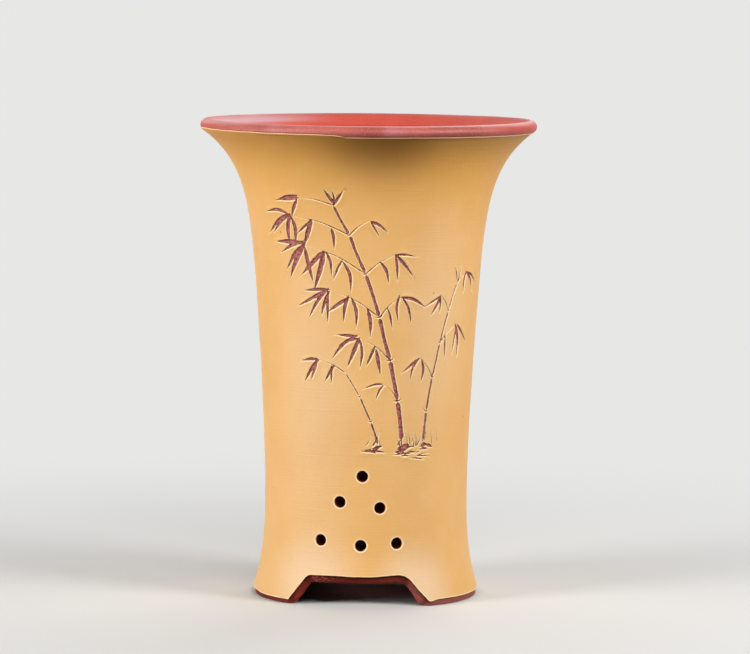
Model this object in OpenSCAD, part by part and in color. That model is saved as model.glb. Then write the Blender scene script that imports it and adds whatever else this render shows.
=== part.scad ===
// Tall flared planter pot in red clay under an ochre slip coat.
// Its members are the ones that the potter lutes together: wall, lip, floor, corner coil
// and two feet, with the coat over the outside.
// The origin is on the table at the pot's axis. The front arch faces -Y.

/* [Overall] */
// Diameter over the lip
rim_d = 150; // [140:1:170]
// Height from the table to the top of the lip
pot_h = 212.5; // [195:0.5:250]

/* [Profile of the coated wall] */
// Diameter at the table
foot_d = 101.8; // [96:0.2:108]
// Outward lean of the wall at the table, in degrees
foot_lean = 14; // [4:1:20]
// Narrowest diameter, at the waist
waist_d = 90.4; // [80:0.2:94]
// Height of the waist
waist_h = 46; // [38:0.5:60]
// Diameter at the neck, where the flare begins
neck_d = 99.9; // [94:0.1:108]
// Height of the neck
neck_h = 141.5; // [110:0.5:155]
// Outward lean of the wall at the neck, in degrees
neck_lean = 4.3; // [2:0.1:8]
// Outward lean of the wall under the lip, in degrees
mouth_lean = 53; // [40:1:58]

/* [Wall and coat] */
// Thickness of the clay wall
wall_t = 5; // [3.5:0.1:7]
// Thickness of the ochre coat
coat_t = 0.8; // [0.5:0.1:1.5]

/* [Lip] */
// Height of the lip ring
lip_h = 5.2; // [4:0.1:8]
// How far the lip stands out past the coat
lip_overhang = 1.5; // [0.5:0.1:3]
// Radius of the lip's outer round
lip_outer_r = 2.8; // [2:0.1:3.4]
// Radius of the lip's inner round
lip_inner_r = 3.4; // [2:0.1:4]

/* [Floor] */
// Height of the floor's underside above the arches
floor_lift = 2.8; // [1:0.1:6]
// Thickness of the floor disc
floor_t = 6.5; // [5:0.5:8]
// Diameter of the drain hole
drain_d = 30; // [16:1:40]
// Width and height of the coil pressed into the corner of floor and wall
coil_w = 3.4; // [2:0.2:5]
// Thickness of the coil at its feathered edges
coil_edge = 0.6; // [0.4:0.1:1]

/* [Feet and arches] */
// Height of the two arches, which are cut straight through from front to back
arch_h = 10.2; // [8:0.1:14]
// Width of an arch at the table
arch_foot_w = 54; // [44:1:64]
// Width of an arch at its top
arch_top_w = 40.6; // [24:0.2:44]
// Width of the bare scraped edge round the top of the arches
scrape_w = 3; // [1.5:0.1:3.5]
// Width of the bare scraped edge beside the arches, at the table
scrape_foot_w = 4.8; // [3:0.1:6]
// Depth of the scraped edge into the clay
scrape_d = 2.5; // [1:0.1:3]
// Height of the bevel along the foot
bevel_h = 2.3; // [0.8:0.1:2.8]
// Depth of the bevel along the foot
bevel_d = 0.7; // [0.5:0.1:2]

/* [Vents] */
// Diameter of a vent
vent_d = 5.1; // [3:0.1:7]
// Height of the lowest row of vents
vent_low_h = 27.5; // [25:0.5:32]
// Height of the top vent above the lowest row
vent_stack_h = 30.2; // [24:0.2:45]
// Half the angle that the lowest row spans, in degrees
vent_half_angle = 21.7; // [16:0.1:30]

/* [Hidden] */

red_clay = [0.62, 0.27, 0.22];
lip_clay = [0.76, 0.42, 0.38];
ochre = [0.90, 0.68, 0.40];

$fn = 96;
overrun = 10;

// Where the curve's handles end, as shares of each stretch's height
foot_handle_shares = [0.39, 0.53];
body_handle_shares = [0.17, 0.39];
flare_handle_shares = [0.56, 0.32];
foot_steps = 10;
body_steps = 12;
flare_steps = 20;
round_steps = 8;

// Each vent's place: a share of the half angle, then a share of the stack's height
vent_place_shares = [
    [0.10, 1], [-0.48, 0.62], [0.56, 0.54],
    [-0.99, 0.05], [0.07, -0.01], [1, 0.02]
];

mouth_r = rim_d / 2 - lip_overhang;
mouth_h = pot_h - lip_h;
clay_depth = coat_t;
inner_depth = coat_t + wall_t;
floor_h = arch_h + floor_lift;
floor_top_h = floor_h + floor_t;

// A point on a cubic Bezier curve, and its direction of travel
function bezier(p, t) =
    pow(1 - t, 3) * p[0] + 3 * pow(1 - t, 2) * t * p[1] + 3 * (1 - t) * t * t * p[2] + pow(t, 3) * p[3];
function bezier_way(p, t) =
    pow(1 - t, 2) * (p[1] - p[0]) + 2 * (1 - t) * t * (p[2] - p[1]) + t * t * (p[3] - p[2]);

// Control points of one stretch of the wall between two places [radius, height] with a lean at each
function stretch(low, low_lean, high, high_lean, shares) =
    let (rise = high[1] - low[1])
    [
        low,
        low + shares[0] * rise * [sin(low_lean), cos(low_lean)],
        high - shares[1] * rise * [sin(high_lean), cos(high_lean)],
        high
    ];

foot_place = [foot_d / 2, 0];
waist_place = [waist_d / 2, waist_h];
neck_place = [neck_d / 2, neck_h];
mouth_place = [mouth_r, mouth_h];
foot_stretch = stretch(foot_place, -foot_lean, waist_place, 0, foot_handle_shares);
body_stretch = stretch(waist_place, 0, neck_place, neck_lean, body_handle_shares);
flare_stretch = stretch(neck_place, neck_lean, mouth_place, mouth_lean, flare_handle_shares);

// A curve's point moved inward by depth, square to the curve, as a pair [height, radius]
function sunk(p, t, depth) =
    let (at = bezier(p, t), way = bezier_way(p, t), inward = [-way[1], way[0]] / norm(way))
    let (to = at + depth * inward)
    [to[1], to[0]];

// The wall's surface at a depth under the coat's face, as pairs [height, radius] that climb
function skin(depth) = [
    for (i = [0:foot_steps]) sunk(foot_stretch, i / foot_steps, depth),
    for (i = [1:body_steps]) sunk(body_stretch, i / body_steps, depth),
    for (i = [1:flare_steps]) sunk(flare_stretch, i / flare_steps, depth)
];
coat_skin = skin(0);
clay_skin = skin(clay_depth);
inner_skin = skin(inner_depth);

// Points [radius, height] up a skin from one height to another
function climb(pairs, low, high) = [
    [lookup(low, pairs), low],
    for (pair = pairs) if (pair[0] > low && pair[0] < high) [pair[1], pair[0]],
    [lookup(high, pairs), high]
];
function reversed(points) = [for (i = [len(points) - 1:-1:0]) points[i]];
function arc(centre, r, from, to) = [
    for (i = [0:round_steps])
        let (angle = from + (to - from) * i / round_steps)
        centre + r * [cos(angle), sin(angle)]
];

// The ring between two skins
module band(outer_pairs, inner_pairs, low, high) {
    rotate_extrude()
        polygon(concat(climb(outer_pairs, low, high), reversed(climb(inner_pairs, low, high))));
}

// Vents are punched straight at the axis, above each arch
module vents() {
    for (turn = [0, 180])
        for (place = vent_place_shares)
            rotate([0, 0, turn + place[0] * vent_half_angle])
                translate([0, 0, vent_low_h + place[1] * vent_stack_h])
                    rotate([90, 0, 0])
                        cylinder(d = vent_d, h = foot_d / 2 + overrun, $fn = 48);
}

// Half the width of an arch at a height, and how much wider the gap in the coat is on each side
function arch_half_w(h) = (arch_foot_w + (arch_top_w - arch_foot_w) * h / arch_h) / 2;
arch_slant = atan2((arch_foot_w - arch_top_w) / 2, arch_h);
scrape_top_w = scrape_w / cos(arch_slant);
function scrape_side_w(h) = scrape_foot_w + (scrape_top_w - scrape_foot_w) * h / (arch_h + scrape_w);

// A cut straight through from front to back, narrower at its top than under the table
module straight_cut(low_half_w, top_half_w, top_h) {
    rotate([90, 0, 0])
        linear_extrude(foot_d + 2 * overrun, center = true)
            polygon([
                [-low_half_w, -overrun], [low_half_w, -overrun],
                [top_half_w, top_h], [-top_half_w, top_h]
            ]);
}
module clay_cut() {
    straight_cut(arch_half_w(-overrun), arch_half_w(arch_h), arch_h);
}
module coat_cut() {
    top_h = arch_h + scrape_w;
    straight_cut(
        arch_half_w(-overrun) + scrape_side_w(-overrun),
        arch_half_w(top_h) + scrape_side_w(top_h),
        top_h
    );
}

// The place on the clay's front face at a distance x from the middle and a height h
function on_clay(x, h) = [x, -sqrt(pow(lookup(h, clay_skin), 2) - x * x), h];

// Everything on one side of a flat cut: the side that way points to
module ahead_of_cut(place, way) {
    block = 2 * foot_d;
    translate(place)
        rotate([0, acos(way[2] / norm(way)), atan2(way[1], way[0])])
            translate([-block / 2, -block / 2, 0])
                cube(block);
}

// The slope scraped round the front arch, from the coat's edge to the cut's own edge
module arch_scrape() {
    inward = [0, scrape_d, 0];
    low_edge = on_clay(arch_half_w(0), 0) + inward;
    high_edge = on_clay(arch_half_w(arch_h), arch_h) + inward;
    coat_edge = on_clay(arch_half_w(arch_h / 2) + scrape_side_w(arch_h / 2), arch_h / 2);
    way = cross(coat_edge - low_edge, high_edge - low_edge);
    top_edge = [lookup(arch_h, clay_skin) - scrape_d, arch_h];
    top_coat_edge = [lookup(arch_h + scrape_w, clay_skin), arch_h + scrape_w];
    past_coat = top_edge + (top_coat_edge - top_edge) * overrun / scrape_w;
    inside_r = top_edge[0] - overrun;
    intersection() {
        ahead_of_cut(low_edge, way);
        mirror([1, 0, 0]) ahead_of_cut(low_edge, way);
        rotate([0, 0, 180])
            rotate_extrude(angle = 180)
                polygon([
                    [inside_r, -overrun],
                    [past_coat[0], -overrun],
                    past_coat,
                    top_edge,
                    [inside_r, arch_h]
                ]);
    }
}

// Both arches as they are cut and scraped in the clay
module clay_arches() {
    clay_cut();
    for (turn = [0, 180])
        rotate([0, 0, turn])
            arch_scrape();
}

module clay_wall() {
    color(red_clay)
        difference() {
            band(clay_skin, inner_skin, arch_h, mouth_h);
            vents();
            clay_arches();
        }
}

// The lip is a rounded ring luted on the wall's top edge
module lip_ring() {
    outer_centre = [rim_d / 2 - lip_outer_r, pot_h - lip_outer_r];
    inner_centre = [rim_d / 2 - lip_outer_r, pot_h - lip_inner_r];
    color(lip_clay)
        rotate_extrude()
            polygon(concat(
                [[lookup(mouth_h, inner_skin), mouth_h], [mouth_r, mouth_h]],
                arc(outer_centre, lip_outer_r, -mouth_lean, 90),
                arc(inner_centre, lip_inner_r, 90, 180 - mouth_lean)
            ));
}

module floor_disc() {
    color(red_clay)
        difference() {
            rotate_extrude()
                polygon(concat([[0, floor_h]], climb(inner_skin, floor_h, floor_top_h), [[0, floor_top_h]]));
            translate([0, 0, floor_h - overrun])
                cylinder(d = drain_d, h = floor_t + 2 * overrun);
        }
}

// The coil is smeared into a hollow fillet that feathers out on floor and wall
module corner_coil() {
    coil_top_h = floor_top_h + coil_w;
    hollow_centre = [lookup(coil_top_h, inner_skin) - coil_w, coil_top_h];
    color(red_clay)
        rotate_extrude()
            polygon(concat(
                climb(inner_skin, floor_top_h, coil_top_h),
                arc(hollow_centre, coil_w - coil_edge, 0, -90),
                [[hollow_centre[0], floor_top_h]]
            ));
}

// A foot is what the two arches leave of the foot ring
module foot(side) {
    color(red_clay)
        difference() {
            rotate([0, 0, side * 90 - 180])
                rotate_extrude(angle = 180)
                    polygon(concat(
                        [[lookup(0, clay_skin) - bevel_d, 0]],
                        climb(clay_skin, bevel_h, arch_h),
                        reversed(climb(inner_skin, 0, arch_h))
                    ));
            clay_arches();
        }
}
module left_foot() { foot(-1); }
module right_foot() { foot(1); }

module ochre_coat() {
    color(ochre)
        difference() {
            band(coat_skin, clay_skin, bevel_h, mouth_h);
            vents();
            coat_cut();
        }
}

clay_wall();
lip_ring();
floor_disc();
corner_coil();
left_foot();
right_foot();
ochre_coat();
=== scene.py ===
# Tall flared planter pot: the looks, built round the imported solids.
# Shapes are in millimetres until each mesh is made, and all else is in metres. The wall is
# unrolled flat: u runs along it and z up it, and a wall point is [u, z] there.
from math import asin, ceil, cos, pi, radians, sin, sqrt

import bpy
import numpy as np
from mathutils import Matrix, Vector, geometry, kdtree


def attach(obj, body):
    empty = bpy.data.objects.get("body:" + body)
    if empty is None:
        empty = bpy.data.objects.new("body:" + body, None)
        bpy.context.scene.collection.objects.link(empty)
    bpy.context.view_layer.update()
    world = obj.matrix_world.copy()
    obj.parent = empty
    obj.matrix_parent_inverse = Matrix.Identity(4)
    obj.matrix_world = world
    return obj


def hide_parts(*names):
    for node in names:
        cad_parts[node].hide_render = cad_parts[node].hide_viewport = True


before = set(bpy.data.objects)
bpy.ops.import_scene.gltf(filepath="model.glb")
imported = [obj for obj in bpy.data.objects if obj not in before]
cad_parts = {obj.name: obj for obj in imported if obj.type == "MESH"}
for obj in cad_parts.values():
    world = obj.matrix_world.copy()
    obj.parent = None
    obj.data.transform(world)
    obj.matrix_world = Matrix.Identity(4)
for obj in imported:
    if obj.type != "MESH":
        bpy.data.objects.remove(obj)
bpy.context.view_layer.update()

MM = 0.001

# The coated wall's profile as [radius, height], with the solids' values
FOOT = (50.9, 0.0)
WAIST = (45.2, 46.0)
NECK = (49.95, 141.5)
MOUTH = (73.5, 207.3)
# How far the profile leans outward there, in degrees. At the waist it is upright.
FOOT_LEAN = -14.0
NECK_LEAN = 4.3
MOUTH_LEAN = 53.0
# How long each stretch holds the leans of its lower and upper end, as shares of its rise
FOOT_HOLD = (0.39, 0.53)
BODY_HOLD = (0.17, 0.39)
FLARE_HOLD = (0.56, 0.32)
# How far the profile runs straight on past the foot and the mouth
RUN_ON = 8

COAT_T = 0.8
INNER_DEPTH = 5.8
# The lip's rolls: the middle's radius and height, and the roll's own radius
LIP_OUTER = (72.2, 209.7, 2.8)
LIP_INNER = (72.2, 209.1, 3.4)
# How far the coat stands proud of the lip
FILM = 0.065
# Skins less deep than this follow the lip's roll above the wall
OUTER_SKIN = 2.0
ARCH_H = 10.2
SCRAPE_D = 2.5
BEVEL_D = 0.6
FLOOR_H = 13.0
FLOOR_TOP_H = 19.5
DRAIN_R = 15.0
VENT_R = 2.55
VENT_LOW_H = 27.5
VENT_STACK_H = 30.2
VENT_HALF_ANGLE = radians(21.7)
VENT_SHARES = ((0.10, 1), (-0.48, 0.62), (0.56, 0.54), (-0.99, 0.05), (0.07, -0.01), (1, 0.02))

# The camera looks from this far right of the front
CAMERA_AZ = radians(4.3)
# The unrolled wall's width for one radian, and its two ends, which meet at the seam
UNROLL = 48.0
HALF_TURN = pi * UNROLL
SEAM_AZ = -pi / 2
LOW_U = SEAM_AZ * UNROLL
HIGH_U = (SEAM_AZ + 2 * pi) * UNROLL


def pairs(a, b):
    """Points from two rows of numbers, or from a row and one number."""
    return np.stack(np.broadcast_arrays(a, b), axis=1)


def stretch(low, low_lean, high, high_lean, hold, steps=60):
    """One stretch of the wall's profile: a cubic curve between two leans."""
    low_lean, high_lean = radians(low_lean), radians(high_lean)
    rise = high[1] - low[1]
    p0, p3 = np.array(low), np.array(high)
    p1 = p0 + hold[0] * rise * np.array([sin(low_lean), cos(low_lean)])
    p2 = p3 - hold[1] * rise * np.array([sin(high_lean), cos(high_lean)])
    t = np.linspace(0, 1, steps + 1)[:, None]
    return (1 - t) ** 3 * p0 + 3 * (1 - t) ** 2 * t * p1 + 3 * (1 - t) * t * t * p2 + t ** 3 * p3


def past(end, before):
    """A point that carries a line straight on past its end."""
    way = end - before
    return end + way / np.linalg.norm(way) * RUN_ON


def wall_profile():
    """The coat's profile as points, with a straight run on past each end."""
    foot = stretch(FOOT, FOOT_LEAN, WAIST, 0, FOOT_HOLD)
    body = stretch(WAIST, 0, NECK, NECK_LEAN, BODY_HOLD)
    flare = stretch(NECK, NECK_LEAN, MOUTH, MOUTH_LEAN, FLARE_HOLD)
    line = np.vstack([foot, body[1:], flare[1:]])
    return np.vstack([past(line[0], line[1]), line, past(line[-1], line[-2])])


PROFILE = wall_profile()
WAY = np.gradient(PROFILE, axis=0)
OUTWARD = pairs(WAY[:, 1], -WAY[:, 0]) / np.linalg.norm(WAY, axis=1)[:, None]
# A table of the radius for each depth under the coat's face and height
DEPTH_STEP = 0.25
HEIGHT_STEP = 0.5
DEPTHS = np.arange(-0.5, 7.01, DEPTH_STEP)
HEIGHTS = np.arange(-1.0, 211.01, HEIGHT_STEP)
SKINS = [PROFILE - depth * OUTWARD for depth in DEPTHS]
RADII = np.array([np.interp(HEIGHTS, skin[:, 1], skin[:, 0]) for skin in SKINS])


def radius(z, depth=0.0):
    """A skin's radius at a height, for its depth under the coat's face."""
    i = np.clip((depth - DEPTHS[0]) / DEPTH_STEP, 0, len(DEPTHS) - 1.001)
    j = np.clip((z - HEIGHTS[0]) / HEIGHT_STEP, 0, len(HEIGHTS) - 1.001)
    i0, j0 = i.astype(int), j.astype(int)
    fi, fj = i - i0, j - j0
    low = RADII[i0, j0] * (1 - fj) + RADII[i0, j0 + 1] * fj
    high = RADII[i0 + 1, j0] * (1 - fj) + RADII[i0 + 1, j0 + 1] * fj
    return low * (1 - fi) + high * fi


def ease(low, high, value):
    """A smooth rise from 0 to 1 as the value goes from low to high."""
    t = np.clip((value - low) / (high - low), 0, 1)
    return t * t * (3 - 2 * t)


def ripple(az, z, seed, turns, pitch=90, count=7):
    """A smooth unevenness of about -1 to 1 that joins up round the pot."""
    dice = np.random.default_rng(seed)
    total = 0
    for _ in range(count):
        m = dice.integers(0, turns + 1)
        n = dice.normal() * 2 * pi / pitch
        total = total + np.sin(m * az + n * z + dice.uniform(0, 2 * pi))
    return total / sqrt(count) / 1.5


def wobble(az, z):
    """How far hands have pushed the wall in or out, but not at its foot and mouth."""
    return 0.10 * ripple(az, z, 3, turns=4) * ease(0, 30, z) * (1 - ease(196, 206, z))


def from_arch(az):
    """Azimuth from the middle of the nearer arch."""
    return (az + pi / 2) % pi - pi / 2


# Beside an arch, which is cut straight through, a deeper skin lies straight behind the face.
# Between these azimuths and heights that gives way to skins that follow the round wall.
ARCH_SIDES = (radians(45), radians(88))
ARCH_ABOVE = (14, 22)
# Between these heights the coat turns on to the lip
ON_TO_LIP = (MOUTH[1] - 0.2, MOUTH[1] + 0.25)


def place(u, z, depth):
    """Wall points in space, at a depth under the coat's face."""
    az = u / UNROLL
    near = from_arch(az)
    r = radius(z, depth)
    held = np.minimum(np.abs(near), ARCH_SIDES[0])
    shift = np.arcsin(np.clip(radius(z) / r * np.sin(held), -1, 1)) - held
    shift = shift * (1 - ease(*ARCH_SIDES, np.abs(near))) * (1 - ease(*ARCH_ABOVE, z))
    az = az + np.sign(near) * shift
    lip_r, lip_z, roll = LIP_OUTER
    on_lip = lip_r + np.sqrt(np.maximum((roll + FILM - depth) ** 2 - (lip_z - z) ** 2, 0))
    share = ease(*ON_TO_LIP, z) * (depth < OUTER_SKIN)
    r = r * (1 - share) + on_lip * share + wobble(u / UNROLL, z)
    return np.stack([r * np.sin(az), -r * np.cos(az), z], axis=1)


def rounding(gap, r):
    """How far a rounded edge has dropped at a distance from it."""
    inward = np.clip(r - gap, 0, r)
    return r - np.sqrt(np.maximum(r * r - inward * inward, 0))


# Outlines of the arches, seen from the front


def resample(points, step):
    """The same line with its points no further apart than a step."""
    points = np.asarray(points, float)
    out = [points[:1]]
    for a, b in zip(points[:-1], points[1:]):
        n = max(1, ceil(np.linalg.norm(b - a) / step))
        t = np.arange(1, n + 1)[:, None] / n
        out.append(a + (b - a) * t)
    return np.vstack(out)


def left_of(line):
    """A unit step to the left at each point of a line."""
    way = np.gradient(line, axis=0)
    return pairs(-way[:, 1], way[:, 0]) / np.linalg.norm(way, axis=1)[:, None]


def gap_to_line(points, line):
    """Distance of each point to a line of points, with a plus on the line's left."""
    best = np.full(len(points), 1e9)
    sign = np.ones(len(points))
    for p, q in zip(line[:-1], line[1:]):
        way = q - p
        t = np.clip(((points - p) @ way) / (way @ way), 0, 1)
        off = points - (p + t[:, None] * way)
        gap = np.hypot(*off.T)
        closer = gap < best - 1e-9
        cross = way[0] * (points[:, 1] - p[1]) - way[1] * (points[:, 0] - p[0])
        sign = np.where(closer, np.where(cross >= 0, 1, -1), sign)
        best = np.where(closer, gap, best)
    return best * sign


def hand_cut(points, soften, step=0.55):
    """A knife's cut through a few points, with its corners softened."""
    line = resample(points, step)
    for _ in range(soften):
        line[1:-1] = (line[:-2] + 2 * line[1:-1] + line[2:]) / 4
    return line


def ragged(line, seed, size):
    """The same outline with the waver of a knife held by hand."""
    dice = np.random.default_rng(seed)
    t = np.arange(len(line)) * 0.7
    wave = 0
    for pace, weaker in ((0.23, 1), (0.55, 1.4), (1.35, 2.2)):
        wave = wave + np.sin(t * pace + dice.uniform(0, 6.3)) / weaker
    fade = np.minimum(1, np.minimum(t, t[::-1]) / 3)
    return line + left_of(line) * (wave * size)[:, None] * fade[:, None]


# The clay's arris and the edge of the coat round the arches, from left to right
ARCH_CORNERS = ((-20.6, 9.8), (19.9, 10.0))
CLAY_ARCH = hand_cut([
    (-29.5, 0), (-28.4, 0.35), (-27.5, 1.1), (-26.7, 2.0), (-24.1, 5.0), (-21.5, 8.8), ARCH_CORNERS[0],
    (-19.6, 10.05), (-7.8, 10.25), (5.4, 10.2), (16.2, 10.35), (18.2, 10.35), ARCH_CORNERS[1],
    (21.0, 8.9), (23.7, 5.3), (25.4, 2.2), (26.2, 1.1), (27.1, 0.4), (28.3, 0)
], 2)
COAT_ARCH = hand_cut([
    (-31.2, 1.95), (-27.1, 7.3), (-23.3, 12.2), (-21.9, 13.4), (-21.1, 13.55), (-12.1, 13.8),
    (-2.3, 13.55), (8.2, 13.6), (15.5, 14.15), (18.4, 14.2), (20.6, 13.7), (22.5, 12.5),
    (26.6, 7.4), (31.1, 2.25)
], 1)
# The coat's edge round the front arch, and round the back one
COATS = (ragged(COAT_ARCH, 5, 0.04), ragged(COAT_ARCH, 6, 0.16))
# The same two outlines, run on below the table to bound the clay that is scraped bare
SCRAPES = [np.vstack([(-33.4, -1), coat, (33.8, -1)]) for coat in COATS]


def same_turn(az):
    """The azimuth brought to between minus and plus half a turn."""
    return np.angle(np.exp(1j * az))


def coat_low(az):
    """Height of the coat's bottom edge, which is worn back in places in front."""
    side = same_turn(az)
    right = 0.60 * ease(radians(39), radians(44), side)
    left = 0.45 * ease(radians(62), radians(69), -side)
    behind = ease(radians(105), radians(138), np.abs(side))
    uneven = 0.06 * ripple(az, 0, 23, turns=34, count=14)
    return 2.08 + (right + left) * (1 - behind) + uneven


def is_behind(u):
    """Whether wall points lie on the pot's back."""
    return np.cos(u / UNROLL) < 0


def seen_from_front(u, z):
    """Wall points as points [x, z] of the nearer arch's outline."""
    az = u / UNROLL
    near = from_arch(az)
    mirrored = np.where(np.abs(az - near) > 1, -1, 1)
    return pairs(radius(z) * np.sin(near) * mirrored, z)


def gap_to_arch(u, z, outlines):
    """Distance to the front arch's outline, or for points behind to the back one's."""
    front, back = (gap_to_line(seen_from_front(u, z), line) for line in outlines)
    return np.where(is_behind(u), back, front)


# The vents' middles as wall points, in front and behind
VENTS = [
    ((turn + share * VENT_HALF_ANGLE) * UNROLL, VENT_LOW_H + lift * VENT_STACK_H)
    for turn in (0, pi) for share, lift in VENT_SHARES
]


def vent_loop(u, z, r):
    """A vent's edge as wall points, round in space."""
    angle = np.linspace(0, 2 * pi, 36, endpoint=False)
    scale = UNROLL / radius(z)
    return pairs(u + r * scale * np.cos(angle), z + r * np.sin(angle))


def vent_gap(points):
    """Distance of wall points to the nearest vent's middle."""
    best = np.full(len(points), 1e9)
    for u, z in VENTS:
        scale = radius(z) / UNROLL
        best = np.minimum(best, np.hypot((points[:, 0] - u) * scale, points[:, 1] - z))
    return best


# The unrolled wall is cut into triangles, then bent round


def join_seam(verts, faces):
    """Makes the two ends of the wall one line of points."""
    left = np.where(np.abs(verts[:, 0] - LOW_U) < 1e-3)[0]
    right = np.where(np.abs(verts[:, 0] - HIGH_U) < 1e-3)[0]
    left = left[np.argsort(verts[left, 1])]
    right = right[np.argsort(verts[right, 1])]
    to = np.arange(len(verts))
    to[right] = left
    return to[faces]


class Cut:
    """Points and cut lines on the unrolled wall."""

    def __init__(self):
        self.points = []
        self.edges = []
        self.count = 0

    def add(self, points, line=False, closed=False):
        points = np.asarray(points, float)
        first = self.count
        self.points.append(points)
        self.count += len(points)
        if line:
            row = range(first, self.count)
            self.edges += list(zip(row[:-1], row[1:]))
            if closed:
                self.edges.append((row[-1], row[0]))

    def fill(self, points, clear):
        """Adds points that aren't close to those already there."""
        tree = kdtree.KDTree(self.count)
        for i, p in enumerate(np.vstack(self.points)):
            tree.insert((p[0], p[1], 0), i)
        tree.balance()
        self.add([p for p in points if tree.find((p[0], p[1], 0))[2] > clear])

    def triangles(self, keep, joined=True):
        """Points and triangles, of those whose middles are kept, closed at the seam if joined."""
        points = [Vector(p) for p in np.vstack(self.points)]
        verts, _, faces, *_ = geometry.delaunay_2d_cdt(points, self.edges, [], 0, 1e-4)
        verts = np.array([v[:] for v in verts])
        faces = np.array(faces)
        a, b, c = (verts[faces[:, i]] for i in range(3))
        area = (b[:, 0] - a[:, 0]) * (c[:, 1] - a[:, 1]) - (b[:, 1] - a[:, 1]) * (c[:, 0] - a[:, 0])
        faces[area < 0] = faces[area < 0][:, ::-1]
        faces = faces[keep((a + b + c) / 3) & (np.abs(area) > 1e-7)]
        if joined:
            faces = join_seam(verts, faces)
        used = np.unique(faces)
        to = np.full(len(verts), -1)
        to[used] = np.arange(len(used))
        return verts[used], to[faces]


def shell(verts, faces, outer, inner):
    """Points and faces of a closed piece between two skins over the same triangles."""
    n = len(verts)
    skins = [place(*verts.T, depth) for depth in (outer, inner)]
    edges = np.vstack([faces[:, [0, 1]], faces[:, [1, 2]], faces[:, [2, 0]]])
    key = edges[:, 0] * n + edges[:, 1]
    back = edges[:, 1] * n + edges[:, 0]
    rim = edges[~np.isin(key, back)]
    walls = np.stack([rim[:, 1], rim[:, 0], rim[:, 0] + n, rim[:, 1] + n], axis=1)
    polygons = faces.tolist() + (faces[:, ::-1] + n).tolist() + walls.tolist()
    return np.vstack(skins), polygons


def height_over(points, line):
    """How far wall points lie above a line that runs along the wall."""
    return points[:, 1] - np.interp(points[:, 0], line[:, 0], line[:, 1])


def inside(points, loop):
    """Whether each point lies inside a closed loop."""
    hit = np.zeros(len(points), bool)
    x, y = points.T
    for (x0, y0), (x1, y1) in zip(loop, np.roll(loop, -1, axis=0)):
        if y0 == y1:
            continue
        crosses = (y0 > y) != (y1 > y)
        hit ^= crosses & (x < (x1 - x0) * (y - y0) / (y1 - y0) + x0)
    return hit


def add_object(name, data):
    obj = bpy.data.objects.new(name, data)
    bpy.context.collection.objects.link(obj)
    return obj


def make(name, points, polygons, material, node, marks=None, sharp=40):
    """A mesh object that rides on the pot's body and stands for its solid."""
    mesh = bpy.data.meshes.new(name)
    mesh.from_pydata((points * MM).tolist(), [], polygons)
    mesh.validate()
    for label, values in (marks or {}).items():
        layer = mesh.attributes.new(label, "FLOAT", "POINT")
        layer.data.foreach_set("value", values.astype(np.float32))
    mesh.shade_smooth()
    mesh.set_sharp_from_angle(angle=radians(sharp))
    mesh.materials.append(material)
    obj = add_object(name, mesh)
    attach(obj, "root")
    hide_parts(node)


# Carving: a traditional bamboo motif, cut with a knife through the coat

# Every chance in the carving is drawn from this
draw = np.random.default_rng(11)
# Each cut's line, and its half width and depth along it
STROKES = []
# The side of each cut towards the light, where its slope is wide and is painted pale as a highlight
LIGHT_SIDE = np.array([0.78, -0.62])
# From this half width up a cut has its full slope and burr
FULL_HALF = 0.5
# The burr beside a cut: how far from the slope, half its width, and its height
BURR_OFF, BURR_W, BURR_RISE = 0.22, 0.20, 0.10
MOST_DEEP = 0.60

# The stalks of bamboo, by their joints from the ground up
MAIN = ((20, 73.5), (17.6, 91), (13.8, 109), (8.8, 128), (2.8, 147), (-3.8, 164), (-10, 177))
RIGHT = ((31, 72.5), (32.2, 86), (34.8, 101), (38.4, 116), (42.6, 130), (47, 142))
LEFT = ((9, 71.5), (5.5, 82), (0.5, 93), (-6, 103.5))
STALKS = ((MAIN, 2.5, 1.3), (RIGHT, 1.7, 0.9), (LEFT, 1.3, 0.7))
DROOPING = (-90, -112, -134, -154, -176)
# Each branch: its joint, angle and length, its leaves' length, and its groups of leaves, each
# with its share of the way along the branch and its leaves' angles
BRANCHES = (
    (MAIN[1], 128, 10, 9, ((1, (-118, -150)),)),
    (MAIN[2], 142, 17, 14, ((1, DROOPING), (0.5, (-84, -112)))),
    (MAIN[3], 150, 25, 16, ((1, DROOPING), (0.62, (-84, -110, -136)), (0.3, (-92,)))),
    (MAIN[4], 154, 29, 17, ((1, DROOPING), (0.68, (-82, -108, -134)), (0.38, (-86, -114)))),
    (MAIN[5], 162, 27, 15, ((1, DROOPING), (0.62, (-86, -114, -142)), (0.3, (-84,)))),
    (MAIN[6], 168, 15, 12, ((1, (-118, -148, -176)), (0, (64, 98, 130)))),
    (MAIN[3], 46, 13, 13, ((1, (-92, -60, -28)), (0.45, (-76,)))),
    (MAIN[4], 36, 15, 13, ((1, (-82, -48, -16)), (0.5, (-70,)))),
    (MAIN[5], 40, 11, 10, ((1, (-70, -34)),)),
    (RIGHT[2], 128, 11, 11, ((1, (-88, -118, -146)),)),
    (RIGHT[3], 40, 12, 13, ((1, (-104, -74, -42)), (0.4, (-84,)))),
    (RIGHT[4], 124, 9, 11, ((1, (-92, -122, -152)),)),
    (RIGHT[5], 34, 8, 12, ((1, (-92, -56, -22)), (0, (72, 104)))),
    (LEFT[3], 156, 14, 12, ((1, (-102, -134, -164)), (0.45, (-92, -120))))
)


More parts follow.
